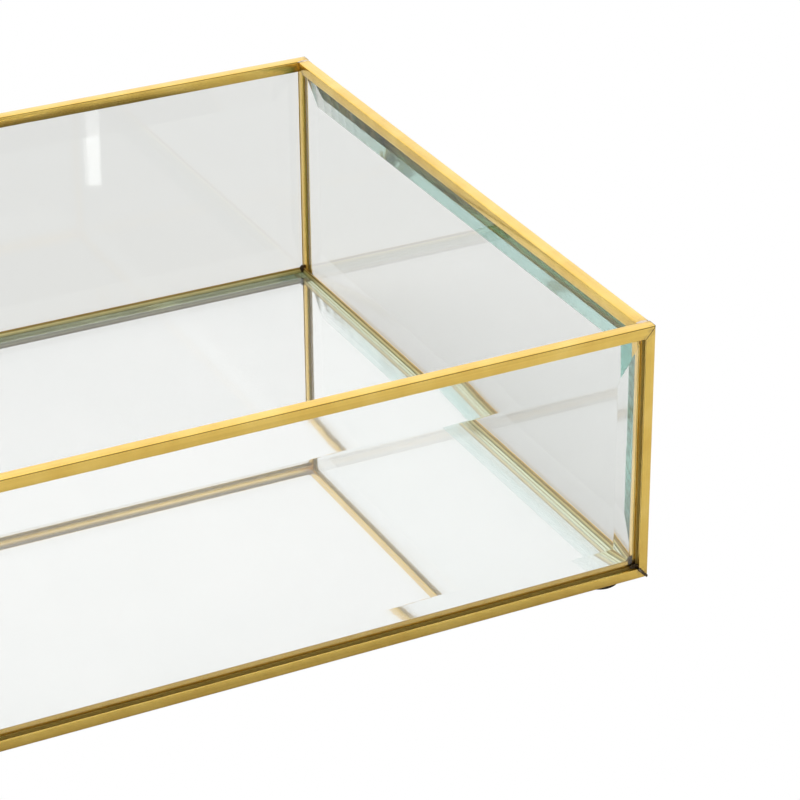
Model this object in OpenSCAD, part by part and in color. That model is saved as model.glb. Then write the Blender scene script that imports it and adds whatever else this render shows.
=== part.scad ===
// Mirrored vanity tray: four bevelled glass walls framed in folded brass channel,
// standing round a mirror that lies on a ring of brass ledges.
// Every wall is a framed panel of its own: the front and back panels run the full
// length and the two side panels are soldered between them.

/* [Tray] */
// Outside length, left to right
tray_length = 300; // [200:5:400]
// Outside depth, front to back
tray_depth = 200; // [140:5:300]
// Height of the framed walls
wall_height = 70; // [50:1:100]

/* [Brass channel] */
// Outside width of the channel, across the glass
channel_width = 3.4; // [3.4:0.1:4]
// Thickness of the folded brass strip
brass = 0.4; // [0.3:0.05:0.4]
// Depth of the top channels' sides
top_flange = 3.1; // [2.5:0.1:5]
// Depth of the upright channels' sides
upright_flange = 2.6; // [2:0.1:5]
// Depth of the bottom channels' sides
bottom_flange = 2.8; // [2:0.1:4]

/* [Wall glass] */
// Thickness of a wall panel inside its bevels
glass_thickness = 2.9; // [2.6:0.05:2.9]
// Thickness of a wall panel at its ground edge
edge_thickness = 1.15; // [1.1:0.05:2]
// Width of the bevel ground along each edge of a wall panel
bevel_width = 10.5; // [8:0.5:16]
// Gap between the edge of a wall panel and the web of its channel
edge_gap = 0.2; // [0.1:0.05:0.5]

/* [Mirror base] */
// Thickness of the mirror glass
mirror_thickness = 2.8; // [2:0.1:3]
// Gap between the edge of the mirror and the ledges
mirror_gap = 0.1; // [0.1:0.1:1]
// Height of the ledges' upright leg above the bottom of the walls
ledge_rise = 4.6; // [3.6:0.1:6]
// Width of the ledges' flat leg, which carries the mirror just below the walls
ledge_reach = 5; // [3:0.5:10]

/* [Feet] */
// Height of a foot
foot_height = 3.1; // [2:0.1:6]
// Diameter of a foot
foot_diameter = 11; // [8:0.5:12]
// Distance from the outside of a wall to the middle of a foot
foot_inset = 9; // [9:0.5:30]

/* [Hidden] */
// The walls, anticlockwise from above. The front faces -Y.
WALLS = ["front", "right", "back", "left"];
// The corner at which each of those walls starts
CORNERS = ["front_left", "front_right", "back_right", "back_left"];
// The walls' numbers, which are also the corners' numbers
SIDES = [0:3];

// Clear gap between the inner face of the glass and its channel
seat_gap = 0.05;
// Thickness of the silver and its paint on the back of the mirror
silver_thickness = 0.1;
// Gap round the backing sheet, inside the ledges
sheet_gap = 0.2;
// Radius and height of the solder bead over a butt joint
bead_radius = 1.5;
bead_height = 0.3;
// Radius of the solder fillet in an inside corner
fillet_radius = 1.5;
// Rounding of a foot's lower edge
foot_rounding = 1.5;
// Amount by which a cutting shape runs past what it cuts
past = 1;
$fn = 64;

// Height of the walls' bottom edges, above the feet and the ledges' flat legs
base_height = foot_height + brass;
bevel_angle = atan((glass_thickness - edge_thickness) / bevel_width);
bead_sphere = (pow(bead_radius, 2) + pow(bead_height, 2)) / (2 * bead_height);
mirror_length = tray_length - 2 * (channel_width + brass + mirror_gap);
mirror_depth = tray_depth - 2 * (channel_width + brass + mirror_gap);
sheet_length = tray_length - 2 * (channel_width + ledge_reach + sheet_gap);
sheet_depth = tray_depth - 2 * (channel_width + ledge_reach + sheet_gap);

function is_side(wall) = wall % 2 == 1;
function start_neighbour(wall) = WALLS[(wall + 3) % 4];
function end_neighbour(wall) = WALLS[(wall + 1) % 4];
// Outside length of the whole tray along a wall
function run(wall) = is_side(wall) ? tray_depth : tray_length;
// Length of a wall's own frame, which on the sides fits between front and back
function frame_length(wall) = run(wall) - (is_side(wall) ? 2 * channel_width : 0);

// Puts a shape drawn along +X, inwards along +Y, at a wall's starting corner.
module along_wall(wall) {
    translate([(wall == 1 || wall == 2 ? 1 : -1) * tray_length / 2,
               (wall >= 2 ? 1 : -1) * tray_depth / 2,
               base_height])
        rotate([0, 0, 90 * wall])
            children();
}

// The same for a wall's own frame, which starts at its neighbour on the sides.
module along_frame(wall) {
    along_wall(wall)
        translate([is_side(wall) ? channel_width : 0, 0, 0])
            children();
}

// Puts a shape drawn for the front left corner at any corner.
module at_corner(corner) {
    mirror([corner == 1 || corner == 2 ? 1 : 0, 0, 0])
        mirror([0, corner >= 2 ? 1 : 0, 0])
            translate([-tray_length / 2, -tray_depth / 2, base_height])
                children();
}

// Stands a shape up that is drawn flat as a wall panel is seen from outside.
module stand_up() {
    translate([0, channel_width, 0])
        rotate([90, 0, 0])
            children();
}

// One mitred length of channel: its outline on the wall, less the room that the
// four channels of a frame leave for the glass.
module channel(outline, length) {
    color("goldenrod")
        difference() {
            stand_up()
                linear_extrude(height = channel_width)
                    polygon(outline);
            translate([brass, brass, brass])
                cube([length - 2 * brass, channel_width - 2 * brass, wall_height - 2 * brass]);
        }
}

module top_channel(wall) {
    length = frame_length(wall);
    along_frame(wall)
        channel([[0, wall_height], [upright_flange, wall_height - top_flange],
                 [length - upright_flange, wall_height - top_flange], [length, wall_height]], length);
}

module bottom_channel(wall) {
    length = frame_length(wall);
    along_frame(wall)
        channel([[0, 0], [length, 0], [length - upright_flange, bottom_flange],
                 [upright_flange, bottom_flange]], length);
}

module start_upright(wall) {
    along_frame(wall)
        channel([[0, 0], [upright_flange, bottom_flange],
                 [upright_flange, wall_height - top_flange], [0, wall_height]], frame_length(wall));
}

module end_upright(wall) {
    length = frame_length(wall);
    along_frame(wall)
        channel([[length, 0], [length, wall_height], [length - upright_flange, wall_height - top_flange],
                 [length - upright_flange, bottom_flange]], length);
}

// A glass panel lying on its flat face, with a bevel ground along all four edges.
module bevelled_panel(width, height) {
    reach = width + height;
    difference() {
        translate([-width / 2, -height / 2, 0])
            cube([width, height, glass_thickness]);
        for (edge = SIDES)
            rotate([0, 0, 90 * edge])
                translate([-reach / 2, -(edge % 2 == 0 ? height : width) / 2, edge_thickness])
                    rotate([bevel_angle, 0, 0])
                        translate([0, -past, 0])
                            cube([reach, bevel_width + 2 * past, glass_thickness]);
    }
}

module wall_glass(wall) {
    length = frame_length(wall);
    margin = brass + edge_gap;
    color("lightcyan", 0.4)
        along_frame(wall)
            stand_up()
                translate([length / 2, wall_height / 2, brass + seat_gap])
                    bevelled_panel(length - 2 * margin, wall_height - 2 * margin);
}

// A flat strip along a wall, inside the frames, mitred into its neighbours.
module mitred_strip(wall, width, height) {
    near = channel_width;
    far = channel_width + width;
    linear_extrude(height = height)
        polygon([[near, near], [run(wall) - near, near], [run(wall) - far, far], [far, far]]);
}

// The angle that a wall's side of the mirror rests on.
module ledge(wall) {
    color("goldenrod")
        along_wall(wall)
            translate([0, 0, -brass]) {
                mitred_strip(wall, ledge_reach, brass);
                mitred_strip(wall, brass, brass + ledge_rise);
            }
}

module centred_plate(length, depth, thickness, base) {
    translate([-length / 2, -depth / 2, base_height + base])
        cube([length, depth, thickness]);
}

module mirror_glass() {
    color("aliceblue")
        centred_plate(mirror_length, mirror_depth, mirror_thickness, silver_thickness);
}

module mirror_silvering() {
    color("silver")
        centred_plate(mirror_length, mirror_depth, silver_thickness, 0);
}

module backing_sheet() {
    color("dimgray")
        centred_plate(sheet_length, sheet_depth, brass, -brass);
}

// The solder at one corner: a low bead over the butt joint of the top channels,
// and a fillet in the inside corner above the ledges.
module corner_solder(corner) {
    color("gainsboro")
        at_corner(corner) {
            intersection() {
                translate([channel_width / 2, channel_width, wall_height + bead_height - bead_sphere])
                    sphere(r = bead_sphere);
                translate([0, 0, wall_height])
                    cube([2 * channel_width, 2 * channel_width, bead_sphere]);
            }
            intersection() {
                translate([channel_width, channel_width, ledge_rise])
                    sphere(r = fillet_radius);
                translate([channel_width, channel_width, ledge_rise])
                    cube(2 * fillet_radius);
            }
        }
}

// A rubber foot with a rounded lower edge, stuck under a corner.
module foot(corner) {
    radius = foot_diameter / 2;
    color("saddlebrown")
        at_corner(corner)
            translate([foot_inset, foot_inset, -base_height])
                rotate_extrude()
                    union() {
                        square([radius - foot_rounding, foot_height]);
                        translate([0, foot_rounding])
                            square([radius, foot_height - foot_rounding]);
                        translate([radius - foot_rounding, foot_rounding])
                            circle(r = foot_rounding);
                    }
}

for (wall = SIDES) {
    wall_glass(wall);
    top_channel(wall);
    bottom_channel(wall);
    start_upright(wall);
    end_upright(wall);
    ledge(wall);
}
mirror_glass();
mirror_silvering();
backing_sheet();
for (corner = SIDES) {
    corner_solder(corner);
    foot(corner);
}
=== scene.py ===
"""Mirrored vanity tray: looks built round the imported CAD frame. Metres throughout."""

import math

import bmesh
import bpy
from mathutils import Matrix, Vector, noise


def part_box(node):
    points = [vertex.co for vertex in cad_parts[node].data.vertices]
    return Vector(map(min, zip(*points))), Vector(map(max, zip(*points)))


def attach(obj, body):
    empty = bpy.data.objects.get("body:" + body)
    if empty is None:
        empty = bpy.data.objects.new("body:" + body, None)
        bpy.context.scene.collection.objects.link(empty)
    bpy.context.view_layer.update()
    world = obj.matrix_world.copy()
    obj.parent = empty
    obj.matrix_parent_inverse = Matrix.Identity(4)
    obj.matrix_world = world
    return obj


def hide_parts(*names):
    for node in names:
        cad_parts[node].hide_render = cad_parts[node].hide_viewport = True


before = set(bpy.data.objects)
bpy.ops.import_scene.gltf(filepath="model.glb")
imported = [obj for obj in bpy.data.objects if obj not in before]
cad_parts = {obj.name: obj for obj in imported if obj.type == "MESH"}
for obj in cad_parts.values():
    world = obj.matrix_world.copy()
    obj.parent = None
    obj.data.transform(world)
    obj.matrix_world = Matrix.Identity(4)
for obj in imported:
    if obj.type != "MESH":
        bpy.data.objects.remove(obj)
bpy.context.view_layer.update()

MM = 0.001
WALLS = ["front", "right", "back", "left"]
CORNERS = ["front_left", "front_right", "back_right", "back_left"]

# ---------------------------------------------------------------- sizes from the frame

front_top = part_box("front_top_channel")
front_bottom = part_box("front_bottom_channel")
front_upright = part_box("front_right_upright")
front_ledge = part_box("front_ledge")
front_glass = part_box("front_glass")
mirror_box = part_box("mirror_glass")
silver_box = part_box("mirror_silvering")
sheet_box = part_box("backing_sheet")

LEFT, RIGHT = front_top[0].x, front_top[1].x
FRONT, BACK = front_top[0].y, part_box("back_top_channel")[1].y
FLOOR_OF_FRAME, RIM = front_bottom[0].z, front_top[1].z
LENGTH, DEPTH, HEIGHT = RIGHT - LEFT, BACK - FRONT, RIM - FLOOR_OF_FRAME
CHANNEL = front_top[1].y - FRONT
TOP_FLANGE = RIM - front_top[0].z
BOTTOM_FLANGE = front_bottom[1].z - FLOOR_OF_FRAME
UPRIGHT_FLANGE = RIGHT - front_upright[0].x
LEDGE_RISE = front_ledge[1].z - FLOOR_OF_FRAME
LEDGE_REACH = front_ledge[1].y - front_ledge[0].y
GLASS_MARGIN = front_glass[0].x - LEFT
GLASS_FACE = front_glass[1].y - FRONT
GLASS_THICKNESS = front_glass[1].y - front_glass[0].y

# ---------------------------------------------------------------- sizes of the fine shapes

BRASS = 0.4 * MM
FOLD_RADIUS = 0.42 * MM
FOLD_STEPS = 5
TIP_RADIUS = 0.12 * MM
TIP_STEPS = 2
INNER_FOLD_STEPS = 2
# How many points at the end of each profile bound its inside, or the side that faces the mirror
INNER_POINTS, LEDGE_INNER_POINTS = 8, 7
MITRE_GAP = 0.01 * MM
# How far from a joint the tarnish reaches
GRIME_REACH = 2.2 * MM
# The dark line at a joint: full to the first distance from the end, gone at the second
JOINT_LINE = 0.06 * MM, 0.22 * MM
# Up to the first of these heights the line is wider by the extra, and from the second it isn't
LOW_JOINTS = FLOOR_OF_FRAME + 4 * MM, FLOOR_OF_FRAME + 6 * MM
LOW_JOINT_EXTRA = 0.35 * MM
# Spacing of the rings of points along a strip, and the waves in the free edges of its sides
RING_SPACING, FEWEST_RINGS = 4 * MM, 8
WAVE, WAVES_PER_METRE = 0.05 * MM, 160
# Thickness of the wall glass at its ground edges; the side panels' lower bevels are shallower
TOP_EDGE = 1.1 * MM
BOTTOM_EDGES = {"front": 1.25 * MM, "right": 1.5 * MM, "back": 1.25 * MM, "left": 1.5 * MM}
# How far the ridges of the hand-ground bevels lie from the frame's edges, in mm: bottom, right, top, left
RIDGES = {"front": (10.6, 10.2, 13.5, 10.2), "right": (12.4, 9.7, 10.8, 9.7),
          "back": (10.9, 10.3, 11.8, 10.3), "left": (11.5, 9.9, 11.0, 9.9)}
ARRIS = 0.12 * MM
# Roughness that polishing has left on the bevels, and the height of the shallow waves in them
BEVEL_GRINDING = 0.05
BEVEL_WAVE = 0.015 * MM
# The softened edges of the mirror and the backing sheet, and of the silvering
PLATE_ARRIS, SILVER_ARRIS = 0.1 * MM, 0.01 * MM
# The silvering stops short of the mirror's edge and reaches a little into the glass
SILVER_INSET, SILVER_OVERLAP = 0.1 * MM, 0.02 * MM
FOOT_STEPS, FOOT_ROUNDING_STEPS = 48, 6
# Angles in degrees above which an edge between two faces stays sharp
STRIP_SHARP, FOOT_SHARP, SOLDER_SHARP = 35, 40, 80
# Places in a piece's list of materials
EDGE_MATERIAL = 1
CLEAN_SOLDER, BURNT_SOLDER = 0, 1

WHITE = (1, 1, 1)


# ---------------------------------------------------------------- mesh helpers

def wall_matrix(wall):
    """Local X along the wall, Y inwards, Z up from the bottom of the frame, as in the CAD."""
    right, back = wall in (1, 2), wall >= 2
    corner = Vector((RIGHT if right else LEFT, BACK if back else FRONT, FLOOR_OF_FRAME))
    return Matrix.Translation(corner) @ Matrix.Rotation(math.radians(90 * wall), 4, "Z")


def corner_matrix(corner):
    """Local X along the long wall and Y along the side wall, both inwards from the outer corner."""
    right, back = corner in (1, 2), corner >= 2
    place = Vector((RIGHT if right else LEFT, BACK if back else FRONT, FLOOR_OF_FRAME))
    return Matrix.Translation(place) @ Matrix.Diagonal((-1 if right else 1, -1 if back else 1, 1, 1))


def new_piece(name, node, bm, materials, smooth_angle=None):
    """Turns a bmesh into a piece that stands for a CAD node; without an angle it is flat shaded."""
    bmesh.ops.recalc_face_normals(bm, faces=bm.faces)
    mesh = bpy.data.meshes.new(name)
    bm.to_mesh(mesh)
    bm.free()
    for material in materials:
        mesh.materials.append(material)
    if smooth_angle is not None:
        mesh.shade_smooth()
        mesh.set_sharp_from_angle(angle=math.radians(smooth_angle))
    piece = bpy.data.objects.new(name, mesh)
    bpy.context.scene.collection.objects.link(piece)
    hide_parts(node)
    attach(piece, "root")
    return piece


def arc(centre, radius, start, end, steps):
    """Points on a circle between two angles in degrees."""
    points = []
    for i in range(steps + 1):
        angle = math.radians(start + (end - start) * i / steps)
        points.append((centre[0] + radius * math.cos(angle), centre[1] + radius * math.sin(angle)))
    return points


def channel_profile(flange):
    """The U of folded strip, as (depth from the web, place across the channel).

    Its inside comes last."""
    outer, tip, width = FOLD_RADIUS, TIP_RADIUS, CHANNEL
    inner = FOLD_RADIUS - 0.75 * BRASS
    points = []
    points += arc((flange - tip, tip), tip, 0, -90, TIP_STEPS)
    points += arc((outer, outer), outer, 270, 180, FOLD_STEPS)
    points += arc((outer, width - outer), outer, 180, 90, FOLD_STEPS)
    points += arc((flange - tip, width - tip), tip, 90, 0, TIP_STEPS)
    points += [(flange, width - BRASS)]
    points += arc((BRASS + inner, width - BRASS - inner), inner, 90, 180, INNER_FOLD_STEPS)
    points += arc((BRASS + inner, BRASS + inner), inner, 180, 270, INNER_FOLD_STEPS)
    points += [(flange, BRASS)]
    return points


def ledge_profile():
    """The L of folded strip, as (inwards from the wall's outer face, height); its flat leg is lowest.

    The side that faces the mirror comes last."""
    near, far = CHANNEL, CHANNEL + LEDGE_REACH
    outer, tip = FOLD_RADIUS, TIP_RADIUS
    points = []
    points += arc((near + outer, outer - BRASS), outer, 180, 270, FOLD_STEPS)
    points += [(far, -BRASS), (far, 0), (near + BRASS, 0)]
    points += arc((near + BRASS - tip, LEDGE_RISE - tip), tip, 0, 90, TIP_STEPS)
    points += arc((near + tip, LEDGE_RISE - tip), tip, 90, 180, TIP_STEPS)
    return points


def swept(profile, begin, finish, place, matrix, wave_tip=None, inner_points=0):
    """Sweeps a closed profile of points (a, b) along s, from begin(a, b) to finish(a, b).

    place(s, a, b) gives the local point. UVs run along the sweep and round the profile in metres.
    end_distance holds the way to the nearer end, which the brass darkens by, and a face layer marks
    the faces between the inner points, on which the brass paints light and shade. Points deeper than
    wave_tip waver."""
    bm = bmesh.new()
    uv_layer = bm.loops.layers.uv.new("along")
    end_layer = bm.verts.layers.float.new("end_distance")
    painted_light_layer = bm.faces.layers.float.new("painted_light_faces")
    longest = max(finish(a, b) - begin(a, b) for a, b in profile)
    count = max(FEWEST_RINGS, round(longest / RING_SPACING))
    girth = [0.0]
    for (a0, b0), (a1, b1) in zip(profile, profile[1:] + profile[:1]):
        girth.append(girth[-1] + math.hypot(a1 - a0, b1 - b0))
    rings = []
    for i in range(count + 1):
        # rings crowd towards the ends, where the joints are
        t = 0.5 - 0.5 * math.cos(math.pi * i / count)
        ring = []
        for a, b in profile:
            s = begin(a, b) + (finish(a, b) - begin(a, b)) * t
            # the free edges waver, and less so close to the joints
            wobble = 0.0
            if wave_tip is not None and a > wave_tip - 3 * TIP_RADIUS:
                seed = matrix @ place(s, a, b)
                wobble = WAVE * noise.noise(seed * WAVES_PER_METRE) * min(1, 4 * t, 4 * (1 - t))
            vert = bm.verts.new(matrix @ place(s, a + wobble, b))
            vert[end_layer] = min(s - begin(a, b), finish(a, b) - s)
            ring.append((vert, s))
        rings.append(ring)
    size = len(profile)
    for low, high in zip(rings, rings[1:]):
        for j in range(size):
            k = (j + 1) % size
            face = bm.faces.new((low[j][0], low[k][0], high[k][0], high[j][0]))
            face[painted_light_layer] = 1.0 if size - inner_points <= j < size - 1 else 0.0
            uvs = [(low[j][1], girth[j]), (low[k][1], girth[j + 1]),
                   (high[k][1], girth[j + 1]), (high[j][1], girth[j])]
            for loop, uv in zip(face.loops, uvs):
                loop[uv_layer].uv = uv
    for ring in (rings[0], rings[-1]):
        face = bm.faces.new([vert for vert, _ in ring])
        for loop, (_, s) in zip(face.loops, ring):
            loop[uv_layer].uv = (s, 0)
    return bm


# ---------------------------------------------------------------- materials

def new_material(name):
    """A material with its node tree and its Principled shader."""
    material = bpy.data.materials.new(name)
    material.use_nodes = True
    tree = material.node_tree
    shader = tree.nodes["Principled BSDF"]
    return material, tree, shader


def add(tree, kind, **settings):
    """A new node with its properties set."""
    node = tree.nodes.new(kind)
    for key, value in settings.items():
        setattr(node, key, value)
    return node


def ramp(tree, source, stops):
    """A colour ramp over source; stops are (place, colour or grey)."""
    node = add(tree, "ShaderNodeValToRGB")
    elements = node.color_ramp.elements
    while len(elements) < len(stops):
        elements.new(0.5)
    for element, (place, colour) in zip(elements, stops):
        element.position = place
        if isinstance(colour, (int, float)):
            colour = (colour, colour, colour)
        element.color = (*colour, 1)
    tree.links.new(source, node.inputs["Fac"])
    return node.outputs["Color"]


def map_range(tree, source, low, high, to_low, to_high):
    """Source mapped from low..high to to_low..to_high and held there beyond."""
    node = add(tree, "ShaderNodeMapRange")
    node.inputs["From Min"].default_value = low
    node.inputs["From Max"].default_value = high
    node.inputs["To Min"].default_value = to_low
    node.inputs["To Max"].default_value = to_high
    tree.links.new(source, node.inputs["Value"])
    return node.outputs["Result"]


def scaled(tree, source, scale):
    """A vector multiplied axis by axis."""
    node = add(tree, "ShaderNodeVectorMath", operation="MULTIPLY")
    node.inputs[1].default_value = scale
    tree.links.new(source, node.inputs[0])
    return node.outputs["Vector"]


def noise_texture(tree, vector, scale, detail=3, roughness=0.5, distortion=0.0):
    """A grey noise from 0 to 1, about 0.5 on average."""
    node = add(tree, "ShaderNodeTexNoise")
    node.inputs["Scale"].default_value = scale
    node.inputs["Detail"].default_value = detail
    node.inputs["Roughness"].default_value = roughness
    node.inputs["Distortion"].default_value = distortion
    tree.links.new(vector, node.inputs["Vector"])
    return node.outputs["Fac"]


def combined(tree, operation, first, second):
    """Two sockets joined by a Math operation."""
    node = add(tree, "ShaderNodeMath", operation=operation)
    tree.links.new(first, node.inputs[0])
    tree.links.new(second, node.inputs[1])
    return node.outputs[0]


def height_of(tree, place):
    """The Z part of a position."""
    parts = add(tree, "ShaderNodeSeparateXYZ")
    tree.links.new(place, parts.inputs["Vector"])
    return parts.outputs["Z"]


def mixed(tree, blend, factor, first, second):
    """A colour mix; factor, first and second are sockets or plain values."""
    node = add(tree, "ShaderNodeMix", data_type="RGBA", blend_type=blend)
    for socket, value in ((node.inputs[0], factor), (node.inputs[6], first), (node.inputs[7], second)):
        if isinstance(value, bpy.types.NodeSocket):
            tree.links.new(value, socket)
        elif isinstance(value, tuple):
            socket.default_value = (*value, 1)
        else:
            socket.default_value = value
    return node.outputs[2]


def bumped(tree, height, strength, distance, under=None):
    """A normal bent by height, over an earlier normal if one is given."""
    node = add(tree, "ShaderNodeBump")
    node.inputs["Strength"].default_value = strength
    node.inputs["Distance"].default_value = distance
    tree.links.new(height, node.inputs["Height"])
    if under is not None:
        tree.links.new(under, node.inputs["Normal"])
    return node.outputs["Normal"]


def brass_material(name, ledge=False):
    """Lengthwise brushed brass, satin, tarnished round its joints.

    On the ledges' side towards the mirror, colour bands are painted up the height: a darker olive
    painted reflection along the mirror, a paler, greener painted reflection above it and painted shade
    along the upper edge. The insides of the channels are painted a bright, dull yellow instead of
    lacquered brass, painted light that lifts the shade inside them."""
    material, tree, shader = new_material(name)
    shader.inputs["Anisotropic"].default_value = 0.6
    shader.inputs["Coat Weight"].default_value = 0.35
    shader.inputs["Coat Roughness"].default_value = 0.12
    uv = add(tree, "ShaderNodeUVMap", uv_map="along").outputs["UV"]
    tangent = add(tree, "ShaderNodeTangent", direction_type="UV_MAP", uv_map="along").outputs["Tangent"]
    tree.links.new(tangent, shader.inputs["Tangent"])
    place = add(tree, "ShaderNodeTexCoord").outputs["Object"]

    strokes = noise_texture(tree, scaled(tree, uv, (30, 9000, 1)), 1.0, detail=4, roughness=0.65)
    drawn = noise_texture(tree, scaled(tree, uv, (12, 2600, 1)), 1.0, detail=2)
    clouds = noise_texture(tree, place, 90, detail=4, roughness=0.6)
    patches = noise_texture(tree, place, 420, detail=3, roughness=0.7)

    base = ramp(tree, clouds, [(0.30, (0.82, 0.53, 0.11)), (0.52, (0.89, 0.61, 0.14)),
                               (0.75, (0.95, 0.68, 0.19))])
    painted_light_mask = add(tree, "ShaderNodeAttribute", attribute_name="painted_light_faces").outputs["Fac"]
    # painted light: a bright, dull yellow on the channel insides lifts the shade inside the channels
    inside = (1.0, 0.73, 0.21)
    if ledge:
        # painted reflection and shade up the ledge's mirror side: darker olive along the mirror, a pale
        # greenish band above it, painted shade along the upper edge
        height = map_range(tree, height_of(tree, place), mirror_box[1].z, front_ledge[1].z, 0.0, 1.0)
        inside = ramp(tree, height, [(0.0, (0.62, 0.56, 0.26)), (0.30, (0.76, 0.68, 0.34)),
                                     (0.42, (0.93, 0.83, 0.40)), (0.58, (0.90, 0.78, 0.36)),
                                     (0.70, (0.44, 0.30, 0.09))])
        base = mixed(tree, "MIX", 0.6, base, (0.62, 0.40, 0.10))
    base = mixed(tree, "MIX", painted_light_mask, base, inside)
    if ledge:
        shader.inputs["Metallic"].default_value = 1.0
    else:
        # the painted-light insides of the channels are made dull and non-metallic
        tree.links.new(map_range(tree, painted_light_mask, 0.0, 1.0, 1.0, 0.05), shader.inputs["Metallic"])
    draw_marks = ramp(tree, drawn, [(0.30, (0.82, 0.80, 0.74)), (0.62, WHITE)])
    streaked = mixed(tree, "MULTIPLY", 0.55, base, draw_marks)
    spots = ramp(tree, patches, [(0.68, 0.0), (0.80, 1.0)])
    spotted = mixed(tree, "MIX", map_range(tree, spots, 0, 1, 0, 0.35), streaked, (0.60, 0.33, 0.09))
    end = add(tree, "ShaderNodeAttribute", attribute_name="end_distance").outputs["Fac"]
    near_end = map_range(tree, end, 0.0, GRIME_REACH, 0.6, 0.0)
    grime_noise = ramp(tree, noise_texture(tree, place, 900, detail=3), [(0.42, 0.0), (0.62, 1.0)])
    grime = combined(tree, "MULTIPLY", near_end, grime_noise)
    grimy = mixed(tree, "MIX", grime, spotted, (0.30, 0.19, 0.09))
    low_down = map_range(tree, height_of(tree, place), LOW_JOINTS[0], LOW_JOINTS[1], LOW_JOINT_EXTRA, 0.0)
    from_line = combined(tree, "SUBTRACT", end, low_down)
    joint_line = map_range(tree, from_line, JOINT_LINE[0], JOINT_LINE[1], 0.9, 0.0)
    jointed = mixed(tree, "MIX", joint_line, grimy, (0.07, 0.045, 0.02))
    tree.links.new(jointed, shader.inputs["Base Color"])

    smooth = map_range(tree, strokes, 0.3, 0.7, 0.13, 0.27)
    dulling = map_range(tree, painted_light_mask, 0.0, 1.0, 0.0, 0.18)
    tree.links.new(combined(tree, "ADD", dulling, smooth), shader.inputs["Roughness"])
    normal = bumped(tree, strokes, 0.12, 0.04 * MM)
    normal = bumped(tree, patches, 0.10, 0.06 * MM, normal)
    tree.links.new(normal, shader.inputs["Normal"])
    return material


def glass_material(name, roughness, ripple, clear=1.0):
    """Clear float glass that greens along long paths; clear below 1 leaves a pale film on it.

    The grinding attribute adds roughness and waves. A panel has this glass on all faces but its
    ground edges, which have their own material.
    that light leaves its volume through any face."""
    material, tree, shader = new_material(name)
    shader.inputs["Base Color"].default_value = (1, 1, 1, 1)
    shader.inputs["Transmission Weight"].default_value = clear
    shader.inputs["IOR"].default_value = 1.52
    place = add(tree, "ShaderNodeTexCoord").outputs["Object"]
    smears = noise_texture(tree, scaled(tree, place, (1, 1, 2.5)), 28, detail=5, roughness=0.65,
                           distortion=0.6)
    grinding = add(tree, "ShaderNodeAttribute", attribute_name="grinding").outputs["Fac"]
    smeared = map_range(tree, smears, 0.45, 0.8, roughness[0], roughness[1])
    tree.links.new(combined(tree, "ADD", smeared, grinding), shader.inputs["Roughness"])
    normal = bumped(tree, noise_texture(tree, place, 14, detail=1), ripple, MM)
    waves = combined(tree, "MULTIPLY", noise_texture(tree, place, 150, detail=2), grinding)
    normal = bumped(tree, waves, 1.0, BEVEL_WAVE / BEVEL_GRINDING, normal)
    tree.links.new(normal, shader.inputs["Normal"])
    absorption = add(tree, "ShaderNodeVolumeAbsorption")
    absorption.inputs["Color"].default_value = (0.25, 0.68, 0.60, 1)
    absorption.inputs["Density"].default_value = 8.0
    tree.links.new(absorption.outputs["Volume"], tree.nodes["Material Output"].inputs["Volume"])
    return material


def edge_painted_light_material():
    """The ground edge of a pane, painted light: a pale greenish metal that stands in for lit brass seen
    through the edge, brighter than the shaded channel behind it.
    """
    material, tree, shader = new_material("glass_edge_painted_light")
    shader.inputs["Metallic"].default_value = 1.0
    place = add(tree, "ShaderNodeTexCoord").outputs["Object"]
    layers = noise_texture(tree, scaled(tree, place, (60, 60, 2400)), 1.0, detail=3, roughness=0.6)
    chips = noise_texture(tree, place, 700, detail=3, roughness=0.6)
    # painted light: pale greenish metal colours in place of the shaded brass behind the edge
    painted_edge_colour = ramp(tree, layers, [(0.3, (0.62, 0.68, 0.40)), (0.5, (0.76, 0.83, 0.52)),
                               (0.7, (0.88, 0.94, 0.64))])
    tree.links.new(painted_edge_colour, shader.inputs["Base Color"])
    tree.links.new(map_range(tree, chips, 0.3, 0.7, 0.05, 0.12), shader.inputs["Roughness"])
    tree.links.new(bumped(tree, chips, 0.02, 0.1 * MM), shader.inputs["Normal"])
    return material


def silver_material():
    """The silvering, seen through the mirror's glass, with faint cleaning marks."""
    material, tree, shader = new_material("silvering")
    shader.inputs["Metallic"].default_value = 1.0
    place = add(tree, "ShaderNodeTexCoord").outputs["Object"]
    haze = noise_texture(tree, place, 22, detail=4, roughness=0.6)
    silver_tone = ramp(tree, haze, [(0.3, (0.93, 0.915, 0.905)), (0.7, (0.96, 0.94, 0.93))])
    tree.links.new(silver_tone, shader.inputs["Base Color"])
    tree.links.new(map_range(tree, haze, 0.4, 0.8, 0.0, 0.012), shader.inputs["Roughness"])
    return material


def solder_material(name, flux_edge):
    """Dull tinned solder with brown flux left on it, the more the lower flux_edge is."""
    material, tree, shader = new_material(name)
    place = add(tree, "ShaderNodeTexCoord").outputs["Object"]
    grain = noise_texture(tree, place, 1400, detail=4, roughness=0.6)
    flux = noise_texture(tree, place, 620, detail=3, roughness=0.6)
    metal = ramp(tree, grain, [(0.3, (0.60, 0.48, 0.38)), (0.7, (0.86, 0.76, 0.64))])
    dirt = ramp(tree, flux, [(flux_edge, 0.0), (flux_edge + 0.1, 1.0)])
    tree.links.new(map_range(tree, dirt, 0.0, 1.0, 1.0, 0.15), shader.inputs["Metallic"])
    tree.links.new(mixed(tree, "MIX", dirt, metal, (0.10, 0.066, 0.032)), shader.inputs["Base Color"])
    shader.inputs["Specular IOR Level"].default_value = 0.25
    tree.links.new(map_range(tree, grain, 0.3, 0.7, 0.35, 0.65), shader.inputs["Roughness"])
    tree.links.new(bumped(tree, grain, 0.35, 0.06 * MM), shader.inputs["Normal"])
    return material


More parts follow.
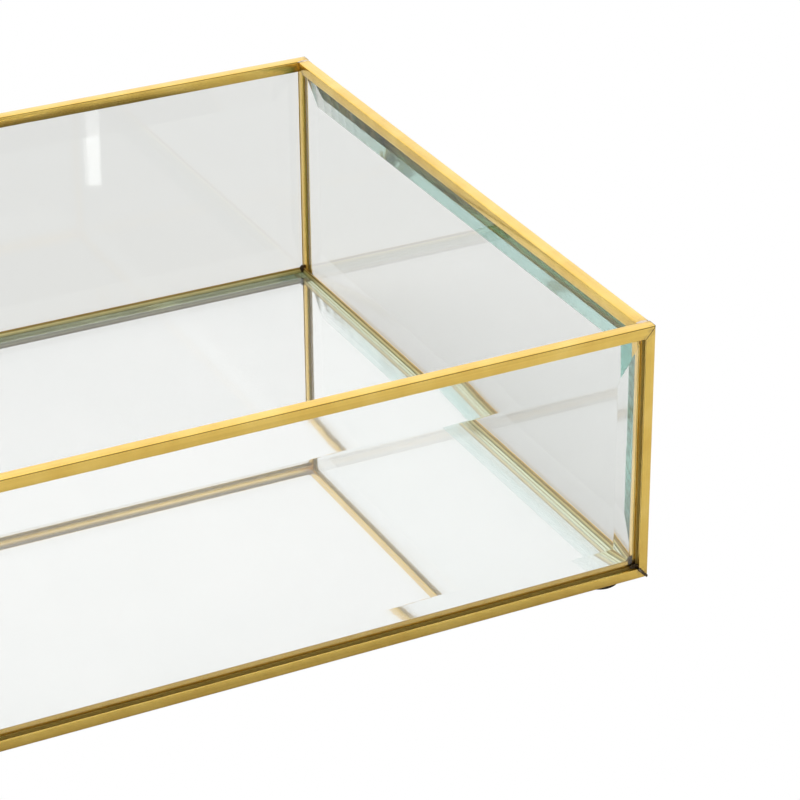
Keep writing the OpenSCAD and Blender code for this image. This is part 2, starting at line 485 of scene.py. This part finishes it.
def rubber_material():
    """Dark brown moulded rubber."""
    material, tree, shader = new_material("foot_rubber")
    shader.inputs["Specular IOR Level"].default_value = 0.4
    place = add(tree, "ShaderNodeTexCoord").outputs["Object"]
    grain = noise_texture(tree, place, 2600, detail=3)
    dust = noise_texture(tree, place, 500, detail=4)
    dusty = ramp(tree, dust, [(0.35, (0.030, 0.020, 0.013)), (0.75, (0.062, 0.045, 0.032))])
    tree.links.new(dusty, shader.inputs["Base Color"])
    tree.links.new(map_range(tree, grain, 0.3, 0.7, 0.42, 0.62), shader.inputs["Roughness"])
    tree.links.new(bumped(tree, grain, 0.25, 0.1 * MM), shader.inputs["Normal"])
    return material


def backing_material():
    """Dark pressed fibre sheet under the mirror."""
    material, tree, shader = new_material("backing_fibre")
    place = add(tree, "ShaderNodeTexCoord").outputs["Object"]
    fibres = noise_texture(tree, scaled(tree, place, (1, 3, 1)), 1800, detail=5, roughness=0.7)
    mottle = noise_texture(tree, place, 60, detail=4)
    shade = ramp(tree, mottle, [(0.3, (0.040, 0.040, 0.043)), (0.7, (0.075, 0.075, 0.078))])
    fibrous = mixed(tree, "MULTIPLY", 0.5, shade, ramp(tree, fibres, [(0.3, 0.6), (0.7, 1.0)]))
    tree.links.new(fibrous, shader.inputs["Base Color"])
    tree.links.new(map_range(tree, fibres, 0.3, 0.7, 0.75, 0.95), shader.inputs["Roughness"])
    tree.links.new(bumped(tree, fibres, 0.4, 0.2 * MM), shader.inputs["Normal"])
    return material


brass = brass_material("brushed_brass")
ledge_brass = brass_material("ledge_brass", ledge=True)
wall_glass = glass_material("wall_glass", roughness=(0.0, 0.004), ripple=0.004)
mirror_glass = glass_material("mirror_glass", roughness=(0.0, 0.003), ripple=0.003, clear=0.86)
edge_painted_light = edge_painted_light_material()
silver = silver_material()
solder = solder_material("solder", flux_edge=0.56)
burnt_solder = solder_material("burnt_solder", flux_edge=0.30)
rubber = rubber_material()
fibre = backing_material()


# ---------------------------------------------------------------- brass strips

def run_of(wall):
    """The tray's outside length along a wall."""
    return DEPTH if wall % 2 else LENGTH


def frame_start(wall):
    """Side frames stand between the front and back ones."""
    return CHANNEL if wall % 2 else 0.0


def level_channel(wall, edge):
    """A top or bottom channel with mitred ends."""
    at_top = edge == "top"
    flange = TOP_FLANGE if at_top else BOTTOM_FLANGE
    slope = UPRIGHT_FLANGE / flange
    start = frame_start(wall)
    end = run_of(wall) - start
    bm = swept(channel_profile(flange),
               lambda a, b: start + a * slope + MITRE_GAP,
               lambda a, b: end - a * slope - MITRE_GAP,
               lambda s, a, b: Vector((s, b, HEIGHT - a if at_top else a)),
               wall_matrix(wall), flange, INNER_POINTS)
    node = f"{WALLS[wall]}_{edge}_channel"
    new_piece(f"{node}_strip", node, bm, [brass], STRIP_SHARP)


def upright_channel(wall, neighbour):
    """An upright channel: neighbour -1 at the wall's start, 1 at its end."""
    start = frame_start(wall)
    end = run_of(wall) - start
    foot_slope = BOTTOM_FLANGE / UPRIGHT_FLANGE
    head_slope = TOP_FLANGE / UPRIGHT_FLANGE
    bm = swept(channel_profile(UPRIGHT_FLANGE),
               lambda a, b: a * foot_slope + MITRE_GAP,
               lambda a, b: HEIGHT - a * head_slope - MITRE_GAP,
               lambda s, a, b: Vector((start + a if neighbour < 0 else end - a, b, s)),
               wall_matrix(wall), UPRIGHT_FLANGE, INNER_POINTS)
    node = f"{WALLS[wall]}_{WALLS[(wall + neighbour) % 4]}_upright"
    new_piece(f"{node}_strip", node, bm, [brass], STRIP_SHARP)


def ledge_angle(wall):
    """The angle under the mirror's edge, mitred at both ends."""
    bm = swept(ledge_profile(),
               lambda a, b: a + MITRE_GAP,
               lambda a, b: run_of(wall) - a - MITRE_GAP,
               lambda s, a, b: Vector((s, a, b)),
               wall_matrix(wall), inner_points=LEDGE_INNER_POINTS)
    node = f"{WALLS[wall]}_ledge"
    new_piece(f"{node}_strip", node, bm, [ledge_brass], STRIP_SHARP)


# ---------------------------------------------------------------- glass

def bevelled_glass(wall):
    """A wall panel: flat inside, with a wide bevel ground along each edge of its outside."""
    start = frame_start(wall) + GLASS_MARGIN
    end = run_of(wall) - start
    low, high = GLASS_MARGIN, HEIGHT - GLASS_MARGIN
    inside, face = GLASS_FACE, GLASS_FACE - GLASS_THICKNESS
    matrix = wall_matrix(wall)
    bm = bmesh.new()
    grinding = bm.faces.layers.float.new("grinding")

    def rectangle(x0, x1, z0, z1, low_y, high_y):
        places = ((x0, low_y, z0), (x1, low_y, z0), (x1, high_y, z1), (x0, high_y, z1))
        return [bm.verts.new(matrix @ Vector(place)) for place in places]

    bottom, far, top, near = (MM * inset for inset in RIDGES[WALLS[wall]])
    back = rectangle(start, end, low, high, inside, inside)
    rim = rectangle(start, end, low, high, inside - BOTTOM_EDGES[WALLS[wall]], inside - TOP_EDGE)
    plateau = rectangle(start - GLASS_MARGIN + near, end + GLASS_MARGIN - far,
                        bottom, HEIGHT - top, face, face)
    bm.faces.new(back)
    bm.faces.new(plateau)
    for i in range(4):
        j = (i + 1) % 4
        side = bm.faces.new((back[i], back[j], rim[j], rim[i]))
        side.material_index = EDGE_MATERIAL
        bm.faces.new((rim[i], rim[j], plateau[j], plateau[i]))[grinding] = BEVEL_GRINDING
    bmesh.ops.recalc_face_normals(bm, faces=bm.faces)
    ridges = [e for e in bm.edges if any(v in plateau for v in e.verts)]
    bmesh.ops.bevel(bm, geom=ridges, offset=ARRIS, segments=2, profile=0.5, affect="EDGES")
    node = f"{WALLS[wall]}_glass"
    new_piece(f"{node}_panel", node, bm, [wall_glass, edge_painted_light])


def plate(low, high, arris):
    """A flat plate with softened edges; its sides have the second material."""
    bm = bmesh.new()
    bmesh.ops.create_cube(bm, size=1)
    for vert in bm.verts:
        vert.co = Vector(h if c > 0 else l for c, l, h in zip(vert.co, low, high))
    bmesh.ops.bevel(bm, geom=list(bm.edges), offset=arris, segments=2, profile=0.5, affect="EDGES")
    for face in bm.faces:
        face.normal_update()
        if abs(face.normal.z) < 0.9:
            face.material_index = EDGE_MATERIAL
    return bm


# ---------------------------------------------------------------- build

for wall in range(len(WALLS)):
    bevelled_glass(wall)
    level_channel(wall, "top")
    level_channel(wall, "bottom")
    upright_channel(wall, -1)
    upright_channel(wall, 1)
    ledge_angle(wall)

new_piece("mirror_plate", "mirror_glass",
          plate(mirror_box[0], mirror_box[1], PLATE_ARRIS), [mirror_glass, edge_painted_light])
silver_low = silver_box[0] + Vector((SILVER_INSET, SILVER_INSET, 0))
silver_high = silver_box[1] + Vector((-SILVER_INSET, -SILVER_INSET, SILVER_OVERLAP))
new_piece("silver_layer", "mirror_silvering",
          plate(silver_low, silver_high, SILVER_ARRIS), [silver, silver])
new_piece("backing_fibre_sheet", "backing_sheet",
          plate(sheet_box[0], sheet_box[1], PLATE_ARRIS), [fibre, fibre])


def foot(corner):
    """A moulded bumper with a rounded lower edge, turned round its own axis."""
    low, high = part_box(f"{CORNERS[corner]}_foot")
    centre = (low + high) / 2
    radius, tall = (high.x - low.x) / 2, high.z - low.z
    rounding = 0.4 * tall
    profile = [(0, 0)]
    profile += arc((radius - rounding, rounding), rounding, -90, 0, FOOT_ROUNDING_STEPS)
    profile += [(radius, 0.95 * tall), (0.97 * radius, tall), (0, tall)]
    bm = bmesh.new()
    rings = []
    for r, z in profile:
        if r == 0:
            rings.append([bm.verts.new((centre.x, centre.y, low.z + z))])
            continue
        turns = [2 * math.pi * i / FOOT_STEPS for i in range(FOOT_STEPS)]
        rings.append([bm.verts.new((centre.x + r * math.cos(turn), centre.y + r * math.sin(turn), low.z + z))
                      for turn in turns])
    for below, above in zip(rings, rings[1:]):
        for i in range(FOOT_STEPS):
            j = (i + 1) % FOOT_STEPS
            # a ring of one point closes the foot with triangles
            corners = [below[i % len(below)], below[j % len(below)],
                       above[j % len(above)], above[i % len(above)]]
            bm.faces.new(list(dict.fromkeys(corners)))
    node = f"{CORNERS[corner]}_foot"
    new_piece(f"{node}_bumper", node, bm, [rubber], FOOT_SHARP)


def lump(bm, centre, radii, seed, material=BURNT_SOLDER, irregular=0.25):
    """One uneven drop of solder, a sphere pushed about by noise; centre and radii in mm."""
    before = set(bm.faces)
    made = bmesh.ops.create_icosphere(bm, subdivisions=4, radius=1)
    for face in set(bm.faces) - before:
        face.material_index = material
    offset = Vector((seed * 3.1, seed * 1.7, seed * 2.3))
    for vert in made["verts"]:
        broad = irregular * noise.noise(vert.co * 1.6 + offset)
        fine = 0.1 * noise.noise(vert.co * 5 + offset)
        vert.co = Vector((c + p * r * (1 + broad + fine)) * MM for c, p, r in zip(centre, vert.co, radii))


def corner_solder(corner):
    """Solder where the side frame butts against the long one, some of it burnt.

    A thin film lies over the joint in the rim, lumps fill the inside corner over the ledges and
    the corner of the channel, and a streak of flux has run down the lower mitre outside."""
    width, rim, ledge_top = CHANNEL / MM, HEIGHT / MM, LEDGE_RISE / MM
    upright, bottom = UPRIGHT_FLANGE / MM, BOTTOM_FLANGE / MM
    bm = bmesh.new()
    lump(bm, (0.55 * width, width, rim - 0.05), (1.6, 0.7, 0.09), corner + 1, CLEAN_SOLDER)
    lump(bm, (width + 0.45, width + 0.45, ledge_top - 0.3), (0.75, 0.75, 0.95), corner + 5)
    lump(bm, (upright + 0.4, 0.6 * width, bottom + 0.1), (1.3, 1.1, 0.55), corner + 14, irregular=0.6)
    drops = 5
    for i in range(drops):
        part = (i + 0.5) / drops
        lump(bm, (part * upright, 0, part * bottom), (0.28 + 0.25 * part, 0.05, 0.36 + 0.16 * part),
             corner + 20 + i, irregular=0.3)
    bmesh.ops.transform(bm, matrix=corner_matrix(corner), verts=bm.verts)
    node = f"{CORNERS[corner]}_solder"
    new_piece(f"{node}_drops", node, bm, [solder, burnt_solder], SOLDER_SHARP)


for corner in range(len(CORNERS)):
    foot(corner)
    corner_solder(corner)

# ---------------------------------------------------------------- studio

scene = bpy.context.scene
FLOOR_SIZE, FLOOR_DROP = 6, 0.2 * MM
# The light tent's brightness behind the tray, overhead, and low down and high up ahead of it
BEHIND_LIGHT, OVERHEAD_LIGHT = (1.2, 1.2, 1.2), (1.6, 1.6, 1.6)
AHEAD_LOW_LIGHT, AHEAD_HIGH_LIGHT = (0.80, 0.80, 0.79), (0.12, 0.12, 0.12)
# Where one part of the tent fades into the next: Y of a unit direction for behind, Z for the others
BEHIND_EDGE, ABOVE_EDGE, OVERHEAD_EDGE = (-0.35, 0.15), (0.35, 0.50), (0.91, 0.98)


def toward(heading, rise):
    """A unit direction: heading in degrees from +Y towards +X, rise in degrees above level."""
    heading, rise = math.radians(heading), math.radians(rise)
    return Vector((math.sin(heading) * math.cos(rise), math.cos(heading) * math.cos(rise), math.sin(rise)))


def pale_floor():
    """White where the camera looks straight at it, a plain pale grey where glass and brass show it."""
    bpy.ops.mesh.primitive_plane_add(size=FLOOR_SIZE, location=(0, 0, -FLOOR_DROP))
    floor = bpy.context.object
    floor.name = "studio_floor"
    material, tree, shader = new_material("studio_floor")
    shader.inputs["Base Color"].default_value = (0.93, 0.93, 0.91, 1)
    shader.inputs["Roughness"].default_value = 0.9
    shader.inputs["Specular IOR Level"].default_value = 0.1
    white = add(tree, "ShaderNodeEmission")
    white.inputs["Strength"].default_value = 1.0
    mix = add(tree, "ShaderNodeMixShader")
    path = add(tree, "ShaderNodeLightPath")
    tree.links.new(path.outputs["Is Camera Ray"], mix.inputs["Fac"])
    tree.links.new(shader.outputs["BSDF"], mix.inputs[1])
    tree.links.new(white.outputs["Emission"], mix.inputs[2])
    tree.links.new(mix.outputs["Shader"], tree.nodes["Material Output"].inputs["Surface"])
    floor.data.materials.append(material)


def studio_world():
    """A soft light tent, bright behind and above the tray and dim high up on its front side.

    The front side is -Y in the world, and the camera sees the tent itself as plain white."""
    world = bpy.data.worlds.new("studio")
    world.use_nodes = True
    scene.world = world
    tree = world.node_tree
    background = tree.nodes["Background"]
    direction = add(tree, "ShaderNodeTexCoord").outputs["Generated"]
    parts = add(tree, "ShaderNodeSeparateXYZ")
    tree.links.new(direction, parts.inputs["Vector"])
    behind = map_range(tree, parts.outputs["Y"], *BEHIND_EDGE, 0.0, 1.0)
    overhead = map_range(tree, parts.outputs["Z"], *OVERHEAD_EDGE, 0.0, 1.0)
    above = map_range(tree, parts.outputs["Z"], *ABOVE_EDGE, 0.0, 1.0)
    ahead = mixed(tree, "MIX", above, AHEAD_LOW_LIGHT, AHEAD_HIGH_LIGHT)
    sides = mixed(tree, "MIX", behind, ahead, BEHIND_LIGHT)
    light = mixed(tree, "MIX", overhead, sides, OVERHEAD_LIGHT)
    path = add(tree, "ShaderNodeLightPath").outputs["Is Camera Ray"]
    tree.links.new(mixed(tree, "MIX", path, light, WHITE), background.inputs["Color"])


def light_strip():
    """A narrow upright light beyond the front right, which the back wall mirrors as a pale streak."""
    data = bpy.data.lights.new("light_strip", "AREA")
    data.shape = "RECTANGLE"
    data.size = 0.04
    data.size_y = 0.26
    data.energy = 0.16
    lamp = bpy.data.objects.new("light_strip", data)
    distance = 2.0
    lamp.location = distance * toward(156.6, 19.5)
    lamp.rotation_euler = (-lamp.location).to_track_quat("-Z", "Y").to_euler()
    scene.collection.objects.link(lamp)


def photo_camera():
    """The camera at the photograph's angle: high over the front left, looking at the right-hand end.

    Its place is counted in wall heights from the lower front right corner of the frame."""
    heading, drop, roll = 26.3877, 27.6066, math.radians(-0.431)
    from_corner = Vector((-5.0276, -8.1509, 5.7064)) * HEIGHT
    data = bpy.data.cameras.new("camera")
    data.lens = 139.47
    data.sensor_width = 36
    data.clip_start = 0.01
    data.clip_end = 50
    camera = bpy.data.objects.new("camera", data)
    camera.location = Vector((RIGHT, FRONT, FLOOR_OF_FRAME)) + from_corner
    camera.rotation_mode = "QUATERNION"
    level = toward(heading, -drop).to_track_quat("-Z", "Y")
    camera.rotation_quaternion = level @ Matrix.Rotation(roll, 3, "Z").to_quaternion()
    scene.collection.objects.link(camera)
    scene.camera = camera


pale_floor()
studio_world()
light_strip()
photo_camera()
scene.view_settings.view_transform = "Standard"
scene.cycles.max_bounces = 96
scene.cycles.glossy_bounces = 80
scene.cycles.transmission_bounces = 80
